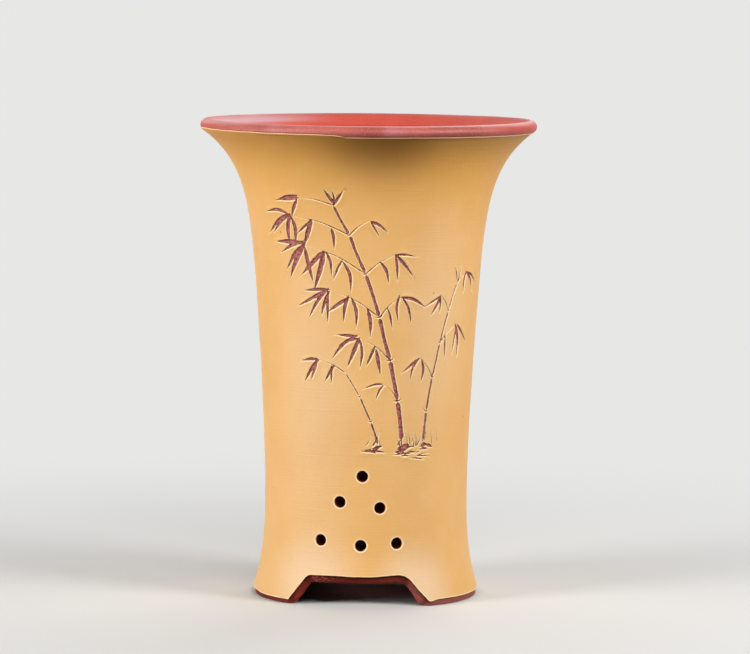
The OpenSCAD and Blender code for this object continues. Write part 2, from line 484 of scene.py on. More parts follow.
def smooth_line(points, step=0.8):
    """A smooth line through a few points."""
    p = np.asarray(points, float)
    p = np.vstack([2 * p[0] - p[1], p, 2 * p[-1] - p[-2]])
    out = []
    for i in range(1, len(p) - 2):
        n = max(2, int(np.linalg.norm(p[i + 1] - p[i]) / step))
        t = np.linspace(0, 1, n, endpoint=False)[:, None]
        out.append(0.5 * (2 * p[i] + (p[i + 1] - p[i - 1]) * t
                          + (2 * p[i - 1] - 5 * p[i] + 4 * p[i + 1] - p[i + 2]) * t * t
                          + (3 * p[i] - p[i - 1] - 3 * p[i + 1] + p[i + 2]) * t ** 3))
    out.append(p[-2][None])
    return np.vstack(out)


def slope_width(half, lit):
    """Width of the slope beside a cut, which is painted pale as a highlight, wider on the side towards
    the light.
    """
    return 0.10 * (lit > 0) + 0.42 * np.minimum(1, half / FULL_HALF) * lit


def swell(kind, t):
    """How wide a kind of cut is along its way, as a share of its full width."""
    if kind == "leaf":
        return np.sin(pi * t ** 0.72) ** 0.85
    if kind == "culm":
        return (1 - 0.16 * np.sin(pi * t)) * np.minimum(1, np.minimum(t, 1 - t) * 14 + 0.35)
    if kind == "flick":
        return np.minimum(1, t / 0.08 + 0.1) * (1 - t) ** 0.7
    return 0.3 + 0.7 * np.sin(pi * t)


def stroke(points, width, kind="leaf", deep=None):
    """One cut through a few points, deeper if it is wider, unless it is given a depth."""
    line = smooth_line(points)
    shape = swell(kind, np.linspace(0, 1, len(line))) * (1 + 0.07 * draw.normal(size=len(line)))
    half = np.maximum(width / 2 * shape, 0.05)
    if deep is None:
        depth = np.minimum(MOST_DEEP, 0.10 + 0.30 * (2 * half))
    else:
        depth = np.full(len(line), deep)
    STROKES.append((line, half, depth))


def heading(angle):
    """A unit step at an angle in degrees, and the one to its left."""
    a = radians(angle)
    way = np.array([cos(a), sin(a)])
    return way, np.array([-way[1], way[0]])


def spray(at, angles, length):
    """Leaves that spring from one point, the middle ones longest, arched so that tips hang."""
    for i, angle in enumerate(angles):
        middle = 1 - abs(2 * i - len(angles) + 1) / (2 * len(angles))
        size = length * (0.60 + 0.46 * middle) * draw.uniform(0.78, 1.18)
        start = np.array(at) + draw.normal(size=2) * 0.45
        width = (0.55 + 0.095 * size) * draw.uniform(0.70, 1.15)
        way, left = heading(angle + draw.normal() * 6)
        up = left if way[0] > 0 else -left
        bend = start + way * size * 0.45 + up * size * draw.uniform(-0.02, 0.12)
        stroke([start, bend, start + way * size], width)


def twig(at, angle, length, leaf_length, groups):
    """A thin branch that rises from a joint, with groups of leaves along it."""
    way, left = heading(angle)
    down = left if way[0] < 0 else -left
    at = np.array(at, float)
    bend = at + way * length * 0.5 - down * length * 0.05
    tip = at + way * length + down * length * 0.03
    stroke([at, bend, tip], 0.68, "flick", 0.3)
    for share, angles in groups:
        spot = at + way * length * share - down * length * 0.05 * sin(pi * share)
        spray(spot, angles, leaf_length * (0.68 + 0.32 * share))


def culm(joints, width_low, width_high):
    """A stalk of bamboo: a cut between every two joints, and a tick at each joint."""
    joints = np.asarray(joints, float)
    clear = 0.7
    for i, (p, q) in enumerate(zip(joints[:-1], joints[1:])):
        way = (q - p) / np.linalg.norm(q - p)
        side = np.array([-way[1], way[0]])
        share = i / max(1, len(joints) - 2)
        width = width_low + (width_high - width_low) * share
        bow = side * draw.uniform(-0.3, 0.3)
        stroke([p + way * clear, (p + q) / 2 + bow, q - way * clear], width, "culm")
        if i:
            reach = side * width * 0.85
            stroke([p - reach + way * 0.4, p, p + reach + way * 0.5], 0.7, "line", 0.3)


def carve_grass():
    """Blades of grass that stand up from the ground."""
    for _ in range(16):
        u, z = draw.uniform(3, 40), draw.uniform(70, 72)
        a = radians(draw.uniform(58, 122))
        size = draw.uniform(4, 10)
        tip = (u + size * cos(a), z + size * sin(a))
        middle = (u + size * 0.5 * cos(a) + 0.6, z + size * 0.55 * sin(a))
        stroke([(u, z), middle, tip], draw.uniform(0.5, 0.95), "flick")


def carve_ground():
    """Long flat cuts for the ground, and short stout ones at the foot of each stalk."""
    for _ in range(15):
        u, z = draw.uniform(-1, 34), draw.uniform(65.5, 70)
        size, tilt = draw.uniform(3, 9), draw.uniform(-0.08, 0.22)
        middle = (u + size / 2, z + size * tilt + 0.3)
        stroke([(u, z), middle, (u + size, z + size * tilt * 2)], draw.uniform(0.4, 1.1), "line")
    for _ in range(9):
        u, z = draw.choice((9, 20, 31)) + draw.normal() * 1.8, draw.uniform(67.5, 71.5)
        size, tilt = draw.uniform(3, 5.5), draw.uniform(-0.3, 0.5)
        start = (u - size / 2, z - size * tilt / 2)
        end = (u + size / 2, z + size * tilt / 2)
        stroke([start, (u, z + 0.3), end], draw.uniform(1.2, 2.2), "line")


def carve():
    for stalk in STALKS:
        culm(*stalk)
    for branch in BRANCHES:
        twig(*branch)
    carve_grass()
    carve_ground()


def cut_fields(points):
    """For wall points: the cut's depth, the raised burr, and how far inside the bared clay and
    the cut's whole width each lies."""
    n = len(points)
    depth, burr = np.zeros(n), np.zeros(n)
    clay, slope = np.full(n, -1.0), np.full(n, -1.0)
    for line, half, deep in STROKES:
        low, high = line.min(axis=0) - 2.5, line.max(axis=0) + 2.5
        near = np.where(((points > low) & (points < high)).all(axis=1))[0]
        if not len(near):
            continue
        start = line[:-1]
        way = line[1:] - start
        length2 = (way ** 2).sum(axis=1) + 1e-12
        p = points[near][:, None]
        t = np.clip(((p - start) * way).sum(axis=2) / length2, 0, 1)
        off = p - (start + t[..., None] * way)
        gap = np.hypot(off[..., 0], off[..., 1])
        pick = gap.argmin(axis=1)
        row = np.arange(len(near))
        t, gap, off = t[row, pick], gap[row, pick], off[row, pick]
        h = half[pick] * (1 - t) + half[pick + 1] * t
        d = deep[pick] * (1 - t) + deep[pick + 1] * t
        lit = np.clip((off @ LIGHT_SIDE) / (gap + 1e-6), 0, 1)
        wide = h + slope_width(h, lit)
        depth[near] = np.maximum(depth[near], d * np.clip(1 - gap / wide, 0, 1) ** 0.75)
        clay[near] = np.maximum(clay[near], h - 0.06 - gap)
        slope[near] = np.maximum(slope[near], wide - gap)
        bank = np.exp(-((gap - wide - BURR_OFF) / BURR_W) ** 2)
        burr[near] = np.maximum(burr[near], bank * np.minimum(1, h / FULL_HALF) * BURR_RISE)
    burr = np.where(slope > 0, 0, burr)
    return depth, burr, clay, slope


# The ochre coat

# How high the coat's top edge climbs the lip, at azimuths from the camera's side
CLIMB_AT = np.radians((-180, -165, -130, -95, -70, -40, -12, -7.5, 180))
CLIMB = (0.0, 0.1, 1.1, 1.55, 1.5, 1.15, 0.9, 0.0, 0.0)


def coat_top(az):
    """Height of the coat's top edge, which climbs on to the lip on one side."""
    climb = np.interp(same_turn(az - CAMERA_AZ), CLIMB_AT, CLIMB)
    return MOUTH[1] + 0.1 + climb + 0.05 * ripple(az, 0, 21, turns=40, count=14)


def wall_ends(cut, low_z, high_z, step=2.0):
    """The seam's points at both ends of the wall, close together at its top and bottom."""
    close = np.array([0.0, 0.06, 0.14, 0.25, 0.37, 0.53, 0.75, 1.25])
    between = np.arange(low_z + step, high_z - step, step)
    z = np.concatenate([low_z + close, between, high_z - close[::-1]])
    for u in (LOW_U, HIGH_U):
        cut.add(pairs(u, z), line=True)


def grid(low_z, high_z, step_u, step_z):
    """A grid of wall points, every second row set over by half a step."""
    out = []
    n = int(2 * HALF_TURN / step_u)
    rows = int((high_z - low_z) / step_z)
    for j in range(1, rows):
        z = low_z + (high_z - low_z) * j / rows
        u = LOW_U + (np.arange(1, n) + j % 2 / 2) * (2 * HALF_TURN) / n
        out.append(pairs(u[u < HIGH_U - 0.3], z))
    return np.vstack(out)


def beside(line, gaps):
    """Lines of points beside a line, on its left."""
    return np.vstack([line + left_of(line) * gap for gap in gaps])


def wrapped(outline, back):
    """An arch's outline as wall points, from left to right along the wall."""
    x, z = outline.T
    if back:
        x, z = -x[::-1], z[::-1]
    az = np.arcsin(x / radius(z)) + (pi if back else 0)
    return pairs(az * UNROLL, z)


def coat_bottom():
    """The coat's bottom edge as wall points, with both arches, from end to end."""
    front, back = wrapped(COATS[0], False), wrapped(COATS[1], True)

    def foot_line(u0, u1):
        u = np.linspace(u0, u1, int((u1 - u0) / 1.2) + 1)
        return pairs(u, coat_low(u / UNROLL))

    line = np.vstack([
        foot_line(LOW_U, front[0, 0])[:-1], front,
        foot_line(front[-1, 0], back[0, 0])[1:-1], back, foot_line(back[-1, 0], HIGH_U)[1:]
    ])
    line[-1, 1] = line[0, 1]
    return line


def coat_cut(bottom, top):
    """The coat's wall points: close along its edges, the vents and the carving."""
    cut = Cut()
    cut.add(bottom, line=True)
    cut.add(top, line=True)
    wall_ends(cut, bottom[0, 1], top[0, 1])
    for gap in (0.10, 0.22, 0.4, 0.6, 0.85, 1.2, 2.0):
        cut.add(top[1:-1] - (0, gap * 0.62))
    cut.add(beside(bottom[1:-1], (0.08, 0.18, 0.32, 0.55, 1.0)))
    for u, z in VENTS:
        cut.add(vent_loop(u, z, VENT_R), line=True, closed=True)
        for gap in (0.10, 0.28, 0.5, 0.9, 1.6):
            cut.add(vent_loop(u, z, VENT_R + gap))
    for line, half, _ in STROKES:
        side = left_of(line)
        lit = side @ LIGHT_SIDE
        cut.add(line, line=True)
        for hand in (-1, 1):
            wide = half + slope_width(half, np.clip(lit * hand, 0, 1))
            for gap in (half * 0.5, half, wide, wide + BURR_OFF, wide + 0.5):
                cut.add(line + side * (hand * gap)[:, None])
    cut.fill(grid(2.0, 207.0, 1.9, 1.9), 0.75)
    return cut


def build_coat(material):
    """The coat with its rolled and worn edges, beads round the vents and carving."""
    bottom = coat_bottom()
    top_u = np.linspace(LOW_U, HIGH_U, 420)
    top = pairs(top_u, coat_top(top_u / UNROLL))
    top[-1, 1] = top[0, 1]

    def keep(middle):
        between = (height_over(middle, bottom) > 0) & (height_over(middle, top) < 0)
        return between & (vent_gap(middle) > VENT_R - 1e-3)

    verts, faces = coat_cut(bottom, top).triangles(keep)
    u, z = verts.T
    arch_gap = np.abs(gap_to_arch(u, z, COATS))
    low_gap = np.minimum(arch_gap, np.maximum(height_over(verts, bottom), 0))
    top_gap = -height_over(verts, top) * 1.6
    vents = vent_gap(verts) - VENT_R
    depth, burr, clay, slope = cut_fields(verts)
    # The top edge is a plump roll, but thin where it runs out on to the lip
    plump = 1 - ease(0.1, 0.5, coat_top(u / UNROLL) - MOUTH[1])
    edge = np.maximum(rounding(low_gap, 0.22), rounding(vents, 0.24))
    edge = np.maximum(edge, rounding(top_gap, 0.22 + 0.52 * plump))
    bead = (0.10 + 0.24 * plump) * np.exp(-((top_gap - 0.45 - 0.3 * plump) / 0.3) ** 2)
    bead = bead + 0.10 * np.exp(-((vents - 0.42) / 0.25) ** 2)
    faint = 0.035 * ripple(u / UNROLL, z, 31, turns=9, pitch=22, count=9)
    faint = faint * (1 - ease(204.5, 206.5, z))
    outer = np.minimum(depth + edge - burr - bead + faint * (edge < 0.05), 0.7)
    points, polygons = shell(verts, faces, outer, COAT_T)
    # The rim mark: small near the coat's edges, where a highlight is painted, and -1 on the inner skin,
    # so that the edges' sides are painted as shade
    rim = np.minimum.reduce([low_gap, top_gap * (1 - 0.5 * plump), vents * 0.8])
    marks = {"clay": clay, "slope": slope, "rim": rim}
    marks = {label: np.append(mark, np.full(len(u), -1.0)) for label, mark in marks.items()}
    make("coat", points, polygons, material, "ochre_coat", marks, sharp=50)


# The clay wall and feet

# Fine scores that a tool has left on the scraped band: x, z, angle and length
SCORES = (
    (-20.2, 12.3, 62, 2.6), (-19.5, 11.4, -48, 1.8), (-18.9, 12.3, 35, 2.2), (-18.3, 11.4, 72, 2.4),
    (-17.5, 12.5, -20, 1.9), (-16.9, 11.6, 28, 2.6), (-16.0, 12.6, 12, 2.0), (-15.1, 11.5, 40, 1.6),
    (-14.0, 12.3, 8, 1.8), (-12.6, 11.4, 18, 1.2), (-11.2, 12.4, 5, 1.0)
)
SCORE_D = 0.16
SCORE_W = 0.14
# How far rows of points lie from a foot's sides, and above the wall's bottom edge
JAMB_GAPS = (0.05, 0.18, 0.4, 0.8, 1.2, 1.7, 2.3, 2.9, 3.6, 4.3, 5.0)
WALL_GAPS = (0.05, 0.18, 0.4, 0.8, 1.2, 1.6, 2.1, 2.6, 3.1, 3.5, 3.9)
# This near to an arch's middle the joint of wall and feet dips to the arch's corners
DIP = asin(22.5 / float(radius(ARCH_H))) * UNROLL


def score_depth(flat):
    """Depth of the tool's scores, for points seen from the front."""
    dice = np.random.default_rng(9)
    total = np.zeros(len(flat))
    for x, z, angle, length in SCORES:
        way, left = heading(angle + dice.normal() * 6)
        off = flat - np.array([x, z])
        along, across = off @ way, off @ left
        score = SCORE_D * np.exp(-(across / SCORE_W) ** 2) * (np.abs(along) < length / 2)
        total = np.maximum(total, score)
    return total


def clay_depth(u, z):
    """Depth of the clay's outer face: scraped bare round the arches, with worn edges."""
    flat = seen_from_front(u, z)
    x, _ = flat.T
    gap = gap_to_line(flat, CLAY_ARCH)
    to_coat = np.maximum(-gap_to_arch(u, z, SCRAPES), 0)
    scrape = SCRAPE_D * to_coat / (to_coat + np.maximum(gap, 0) + 1e-6)
    uneven = 0.07 * np.sin(x * 1.9 + z * 3.1) + 0.05 * np.sin(x * 4.3 - z * 5.7)
    scrape = scrape + (uneven + score_depth(flat) * ~is_behind(u)) * ease(0, 0.6, to_coat)
    bevel = BEVEL_D * np.clip(1 - z / coat_low(u / UNROLL), 0, 1) + rounding(z, 0.35)
    return COAT_T + np.maximum(scrape + rounding(np.abs(gap), 0.8), bevel)


def clay_inner(u, z):
    """Depth of the clay's inner face, with its throwing rings and worn edges."""
    gap = np.abs(gap_to_line(seen_from_front(u, z), CLAY_ARCH))
    rings = 0.10 * np.sin(z * 2 * pi / 4.6 + u / UNROLL)
    rings = rings * ease(24, 40, z) * (1 - ease(150, 185, z))
    return INNER_DEPTH - np.maximum(rounding(gap, 0.5), rounding(z, 0.6)) + rings


def clay_marks(u, z):
    """How near the points of the two skins lie to the coat's edge and the vents' edges, for painted
    shade there, and how far they are lightened, by the tool's scores and by painted light on the right
    jamb.
    """
    low = z < 18
    gap = np.full(len(u), 9.0)
    gap[low] = np.abs(gap_to_line(pairs(u[low], z[low]), coat_bottom()))
    in_vent = np.abs(vent_gap(pairs(u, z)) - VENT_R)
    flat = seen_from_front(u, z)
    # Painted light: the right jamb is drawn lighter
    jamb = 0.42 * ease(20.8, 22.4, flat[:, 0]) * (1 - ease(4.5, 5.5, gap))
    lightened = np.maximum(score_depth(flat) / SCORE_D, jamb) * ~is_behind(u)
    return {
        "under": np.append(np.minimum(gap, in_vent), in_vent),
        "lightened": np.append(lightened, np.zeros(len(u)))
    }


def split_arch(back):
    """An arch's left side, top and right side, parted at its two top corners."""
    arch = wrapped(CLAY_ARCH, back)
    left, right = (np.abs(CLAY_ARCH - corner).sum(axis=1).argmin() for corner in ARCH_CORNERS)
    if back:
        left, right = len(arch) - 1 - right, len(arch) - 1 - left
    return arch[:left + 1], arch[left:right + 1], arch[right:]


FRONT_L, FRONT_TOP, FRONT_R = split_arch(False)
BACK_L, BACK_TOP, BACK_R = split_arch(True)


def joint(*points):
    """The joint of wall and feet through points, or where a bare u is given, at its own level."""
    return resample([p if len(np.shape(p)) else (p, ARCH_H) for p in points], 0.8)


def make_clay(name, node, verts, faces, material):
    """A piece of red clay from the wall's inner face to its outer one."""
    u, z = verts.T
    points, polygons = shell(verts, faces, clay_depth(u, z), clay_inner(u, z))
    points[:, 2] = np.maximum(points[:, 2], 0)
    make(name, points, polygons, material, node, clay_marks(u, z))


def build_wall(material):
    bottom = np.vstack([
        joint(LOW_U, -DIP, FRONT_TOP[0])[:-1], FRONT_TOP,
        joint(FRONT_TOP[-1], DIP, HALF_TURN - DIP, BACK_TOP[0])[1:-1], BACK_TOP,
        joint(BACK_TOP[-1], HALF_TURN + DIP, HIGH_U)[1:]
    ])
    cut = Cut()
    cut.add(bottom, line=True)
    cut.add(pairs(np.linspace(LOW_U, HIGH_U, 241), MOUTH[1]), line=True)
    wall_ends(cut, ARCH_H, MOUTH[1])
    for gap in WALL_GAPS:
        cut.add(bottom[1:-1] + (0, gap))
    for u, z in VENTS:
        cut.add(vent_loop(u, z, VENT_R - 0.05), line=True, closed=True)
        cut.add(vent_loop(u, z, VENT_R + 0.5))
    cut.fill(grid(ARCH_H, MOUTH[1], 2.4, 1.15), 0.6)

    def keep(middle):
        return (height_over(middle, bottom) > 0) & (vent_gap(middle) > VENT_R - 0.06)

    make_clay("wall", "clay_wall", *cut.triangles(keep), material)


def build_foot(name, material, start, end, first_u):
    """A foot, from the right side of one arch to the left side of the next."""
    low_u, high_u = start[-1, 0], end[0, 0]
    top = joint(start[0], first_u + DIP, first_u + HALF_TURN - DIP, end[-1])
    bottom = pairs(np.linspace(low_u, high_u, 70), 0)
    loop = np.vstack([bottom, end[1:], top[::-1][1:-1], start[:-1]])
    cut = Cut()
    cut.add(loop, line=True, closed=True)
    for side in (start, end):
        cut.add(beside(side, JAMB_GAPS))
    for z in (0.03, 0.12, 0.28, 0.5, 1.0, 1.6):
        cut.add(bottom[1:-1] + (0, z))
    columns = np.linspace(low_u - 8, high_u + 8, 44)
    rows = np.arange(2.4, ARCH_H - 0.4, 0.9)
    cut.fill(np.array([(u, z) for z in rows for u in columns]), 0.5)

    def keep(middle):
        return inside(middle, loop)

    make_clay(name, name, *cut.triangles(keep, joined=False), material)


# Turned pieces


def lathe(name, profile, shift, material, node, sides):
    """A turned ring from a closed profile of points [radius, height], shifted as it turns."""
    count = len(profile)
    points, polygons = [], []
    for i, az in enumerate(np.linspace(0, 2 * pi, sides, endpoint=False)):
        r, z = shift(profile, az).T
        points.append(np.stack([r * sin(az), -r * cos(az), z], axis=1))
        here, there = i * count, (i + 1) % sides * count
        for k in range(count):
            after = (k + 1) % count
            polygons.append((here + k, there + k, there + after, here + after))
    make(name, np.vstack(points), polygons, material, node)


def arc(centre, r, start, end, steps):
    """Points on an arc between two angles in degrees."""
    a = np.radians(np.linspace(start, end, steps))
    return pairs(centre[0] + r * np.cos(a), centre[1] + r * np.sin(a))


def on_inside(z):
    """The point [radius, height] of the wall's inner face at a height."""
    return float(radius(z, INNER_DEPTH)), z


def build_lip(material):
    """The roll of the lip, a little uneven and lower towards the camera."""
    seat = on_inside(MOUTH[1])
    outer = arc(LIP_OUTER[:2], LIP_OUTER[2], -53, 90, 30)
    inner = arc(LIP_INNER[:2], LIP_INNER[2], 90, 127, 10)[1:]
    slope = resample([inner[-1], seat], 0.9)[1:]
    base = resample([seat, MOUTH], 3)[1:]

    def shift(p, az):
        front = max(0, cos(az - CAMERA_AZ)) ** 1.5
        lift = 0.07 * ripple(az, 0, 41, turns=6, count=6) - 0.09 - 0.40 * front
        push = 0.05 * ripple(az, 0, 42, turns=7, count=6) - 0.07
        share = ease(207.9, 210.9, p[:, 1])
        return p + pairs(push * share, lift * share)

    lathe("lip", np.vstack([base, outer, inner, slope]), shift, material, "lip_ring", 360)


def build_floor(material):
    """The floor, with the spiral of the throwing on top and a hand-cut drain hole."""
    edge_low, edge_high = on_inside(FLOOR_H), on_inside(FLOOR_TOP_H)
    soft = 0.9
    hole_r = DRAIN_R + soft
    bottom = resample([(hole_r, FLOOR_H), edge_low], 1.2)
    outside = resample([edge_low, edge_high], 1.6)[1:]
    top = resample([edge_high, (hole_r, FLOOR_TOP_H)], 1.0)[1:]
    hole_top = arc((hole_r, FLOOR_TOP_H - soft), soft, 90, 180, 7)[1:]
    hole_low = arc((hole_r, FLOOR_H + soft), soft, 180, 270, 7)[:-1]
    side = resample([hole_top[-1], hole_low[0]], 1.2)[1:-1]

    def shift(p, az):
        out = p.copy()
        r, z = p.T
        spiral = 0.12 * np.sin(r * 2 * pi / 4.2 - az)
        middle = ease(DRAIN_R + 1, DRAIN_R + 4, r) * (1 - ease(36, 40, r))
        out[:, 1] += np.where(z > FLOOR_TOP_H - 0.01, spiral, 0) * middle
        near = 1 - ease(DRAIN_R + 0.5, DRAIN_R + 3, r)
        out[:, 0] += 0.12 * ripple(az, 0, 51, turns=5, count=5) * near
        return out

    profile = np.vstack([bottom, outside, top, hole_top, side, hole_low])
    lathe("floor", profile, shift, material, "floor_disc", 180)


def build_coil(material):
    """The coil in the corner of floor and wall, with a row of finger dents in its hollow."""
    width, edge = 3.4, 0.6
    top_h = FLOOR_TOP_H + width
    corner, crest = on_inside(FLOOR_TOP_H), on_inside(top_h)
    centre = (crest[0] - width, top_h)
    wall = resample([corner, crest], 0.7)
    hollow = arc(centre, width - edge, 0, -90, 14)
    base = resample([(centre[0], FLOOR_TOP_H), corner], 0.9)[:-1]

    def shift(p, az):
        way = p - np.array(centre)
        gap = np.linalg.norm(way, axis=1)
        face = gap < width - edge + 0.05
        dents = 0.16 * sin(26 * az + 1.5 * sin(3 * az))
        press = dents + 0.1 * ripple(az, 0, 61, turns=9, count=5)
        middle = np.sin(np.clip(np.arctan2(-way[:, 1], way[:, 0]), 0, pi / 2) * 2)
        return p + way / gap[:, None] * (press * middle * face)[:, None]

    lathe("coil", np.vstack([wall, hollow, base]), shift, material, "corner_coil", 240)


# Materials


def srgb(r, g, b):
    """A colour as it is written on a screen, for a shader."""
    out = []
    for c in (r, g, b):
        c /= 255
        out.append(c / 12.92 if c <= 0.04045 else ((c + 0.055) / 1.055) ** 2.4)
    return (*out, 1.0)


class Nodes:
    """Short ways to add and join the nodes of a material or of the world."""

    def __init__(self, owner):
        owner.use_nodes = True
        self.tree = owner.node_tree

    def put(self, socket, value):
        """Joins a socket to another, or sets it to a value."""
        if hasattr(value, "is_linked"):
            self.tree.links.new(value, socket)
        else:
            socket.default_value = value

    def fill(self, node, *values, **named):
        """Fills a node's first sockets with values, and those it names, with _ for a blank."""
        for i, value in enumerate(values):
            self.put(node.inputs[i], value)
        for key, value in named.items():
            self.put(node.inputs[key.replace("_", " ")], value)
        return node

    def add(self, kind, *values, **named):
        """Adds a node and fills it. A name in small letters is a setting, not a socket."""
        node = self.tree.nodes.new("ShaderNode" + kind)
        for key in [key for key in named if key.islower()]:
            setattr(node, key, named.pop(key))
        return self.fill(node, *values, **named)

    def maths(self, operation, a, b=0.0):
        return self.add("Math", a, b, operation=operation).outputs["Value"]

    def seen(self):
        """1 for rays that show a surface as it looks, and 0 for those that light the pot."""
        path = self.add("LightPath")
        share = path.outputs["Is Camera Ray"]
        for ray in ("Is Glossy Ray", "Is Transmission Ray"):
            share = self.maths("MAXIMUM", share, path.outputs[ray])
        return share

    def show(self, output, share, low, high):
        """Mixes two shaders by a share, as what the tree gives out."""
        mixed = self.add("MixShader", share, low.outputs[0], high.outputs[0])
        self.fill(self.tree.nodes[output], mixed.outputs[0])


class Finish(Nodes):
    """The nodes of one material, with its textures fixed in the pot's frame."""

    def __init__(self, name):
        self.material = bpy.data.materials.new(name)
        super().__init__(self.material)
        self.shader = self.tree.nodes["Principled BSDF"]
        self.where = self.add("TexCoord").outputs["Object"]

    def along(self, axis):
        return self.add("SeparateXYZ", self.where).outputs[axis]

    def distance(self, point, scale=(1, 1, 1)):
        """Distance to a point, with space first scaled along its axes."""
        scaled = self.add("VectorMath", self.where, scale, operation="MULTIPLY").outputs[0]
        target = [p * s for p, s in zip(point, scale)]
        return self.add("VectorMath", scaled, target, operation="DISTANCE").outputs["Value"]

    def noise(self, scale, detail=3, rough=0.55, stretch=(1, 1, 1)):
        place = self.add("Mapping", self.where, Scale=stretch).outputs[0]
        return self.add("TexNoise", place, Scale=scale, Detail=detail, Roughness=rough).outputs["Fac"]

    def map(self, value, low, high, to_low=0.0, to_high=1.0):
        """A value eased from one range to another."""
        node = self.add("MapRange", value, low, high, to_low, to_high, interpolation_type="SMOOTHSTEP")
        return node.outputs["Result"]

    def mix(self, share, a, b, blend="MIX"):
        node = self.add("Mix", share, data_type="RGBA", blend_type=blend)
        self.put(node.inputs[6], a)
        self.put(node.inputs[7], b)
        return node.outputs[2]

    def mark(self, label):
        """A mark that the mesh carries at each of its points."""
        return self.add("Attribute", attribute_name=label).outputs["Fac"]

    def specks(self, colour, tone, share, scale, size, few):
        """Scatters grains of a tone, with ranges for their size and for how few cells hold one."""
        cells = self.add("TexVoronoi", self.where, Scale=scale)
        close = self.map(cells.outputs["Distance"], *size, 1, 0)
        speck = self.maths("MULTIPLY", close, self.map(cells.outputs["Color"], *few))
        return self.mix(self.maths("MULTIPLY", speck, share), colour, tone)

    def surface(self, colour, roughness, specular, bumps):
        """Sets the shader. Each bump is a height and how many metres it stands for."""
        normal = None
        for height, size in bumps:
            node = self.add("Bump", Height=height, Distance=size)
            if normal:
                self.fill(node, Normal=normal)
            normal = node.outputs["Normal"]
        self.fill(self.shader, Base_Color=colour, Roughness=roughness, Normal=normal)
        self.shader.inputs["Specular IOR Level"].default_value = specular
        return self.material


# Fired clay: its own colour, its dark clouds and grains, and its pale grains
BRIGHT = (srgb(213, 84, 65), srgb(199, 72, 55), srgb(226, 126, 108))
BROWN = (srgb(144, 50, 36), srgb(110, 32, 22), srgb(178, 92, 76))
PINK = (srgb(188, 94, 84), srgb(164, 70, 60), srgb(226, 162, 156))
CLAY_GRAIN = (1900, 2, 0.7)
# The coat's painted sheen, its painted shade, and a painted highlight at its edges and on its cuts'
# slopes
PAINTED_SHEEN = srgb(240, 204, 164)
PAINTED_SHADE = srgb(116, 68, 26)
PAINTED_HIGHLIGHT = srgb(252, 222, 172)
# Patches of painted sheen and painted shade on the coat: the middle, the squeeze along Z, the reach,
# the strength and the tone
PAINTED_LIGHT_PATCHES = (
    # Painted sheen on the left and right, low down and higher up
    ((-0.022, -0.045, 0.012), 1.0, 0.030, 0.80, PAINTED_SHEEN),
    ((0.026, -0.043, 0.009), 1.0, 0.026, 0.80, PAINTED_SHEEN),
    ((-0.022, -0.043, 0.100), 0.32, 0.028, 0.32, PAINTED_SHEEN),
    ((0.035, -0.036, 0.125), 0.36, 0.026, 0.36, PAINTED_SHEEN),
    # Painted shade under the lip, over the front
    ((0.012, -0.069, 0.208), 1.0, 0.035, 0.54, PAINTED_SHADE)
)
# The middle of the painted sheen on the lip's inside
LIP_PAINTED_SHEEN = (-0.068, 0.017, 0.211)


def clay_colour(n, grain, base, dark, light):
    """Fired clay: slow clouds, fine grain and a scatter of pale and dark grains."""
    colour = n.mix(n.map(n.noise(28, 3), 0.35, 0.68), dark, base)
    colour = n.mix(n.map(grain, 0.45, 0.75, 0, 0.35), colour, light)
    colour = n.specks(colour, light, 0.75, 900, (0.05, 0.22), (0.86, 0.90))
    return n.specks(colour, dark, 0.6, 520, (0.05, 0.20), (0.90, 0.93))


def red_clay():
    """Bright inside the pot and browner low down, with painted shade at the very bottom and near the
    coat's and vents' edges, and lightened by the tool's scores and by painted light on the right jamb.
    """
    n = Finish("red_clay")
    grain = n.noise(*CLAY_GRAIN)
    painted_bottom_shade, shaded, lightened = srgb(84, 34, 22), srgb(72, 22, 12), srgb(186, 118, 108)
    low_clay_and_painted_light = clay_colour(n, grain, *BROWN)
    # Painted shade at the very bottom, within a few millimetres of the ground
    low_clay_and_painted_light = n.mix(n.map(n.along("Z"), 0.0012, 0.0032, 0.45, 0), low_clay_and_painted_light, painted_bottom_shade)
    # Painted shade near the coat's edges and the vents' edges, and over the floor and coil, which carry
    # no such mark
    low_clay_and_painted_light = n.mix(n.map(n.mark("under"), 0.2, 2.4, 0.85, 0), low_clay_and_painted_light, shaded)
    # Lightened by the tool's scores, and by painted light on the right jamb
    low_clay_and_painted_light = n.mix(n.map(n.mark("lightened"), 0.1, 0.8, 0, 0.75), low_clay_and_painted_light, lightened)
    colour = n.mix(n.map(n.along("Z"), 0.02, 0.12), low_clay_and_painted_light, clay_colour(n, grain, *BRIGHT))
    roughness = n.map(grain, 0.3, 0.8, 0.52, 0.72)
    lines = n.noise(260, 3, 0.6, (0.12, 0.12, 6))
    bumps = [(grain, 0.00006), (n.noise(320, 4), 0.00010), (lines, 0.00008)]
    return n.surface(colour, roughness, 0.15, bumps)


